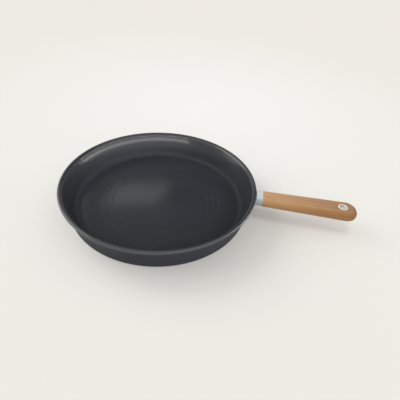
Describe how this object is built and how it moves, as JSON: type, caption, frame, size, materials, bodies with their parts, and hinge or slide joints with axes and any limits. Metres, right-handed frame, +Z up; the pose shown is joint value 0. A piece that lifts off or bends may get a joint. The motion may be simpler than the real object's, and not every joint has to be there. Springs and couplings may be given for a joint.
{
  "type": "omelette pan",
  "caption": "Dark coated omelette pan with a flared wall and rounded lip, a pale metal collar and a straight wooden handle with a sleeved hanging hole.",
  "frame": {"origin": "middle of the foot, on the table", "axes": "+X along the handle, away from the pan; +Z up"},
  "size_m": [0.419, 0.28, 0.0413],
  "materials": {
    "dark_coating": "dark matt non-stick coating on cast aluminium",
    "foot_steel": "turned with fine rings",
    "collar_metal": "satin",
    "inner_steel": "plain bright steel",
    "rivet_metal": "plain",
    "beech": "oiled beech, grain along the handle",
    "sleeve_metal": "bright satin"
  },
  "bodies": {
    "root": {"pan_body": "dark_coating", "foot_plate": "foot_steel", "collar": "collar_metal", "handle_stay": "inner_steel", "stay_rivets": "rivet_metal", "wood_handle": "beech", "hanging_sleeve": "sleeve_metal", "handle_screw": "inner_steel", "spring_washer": "inner_steel"}
  },
  "joints": []
}
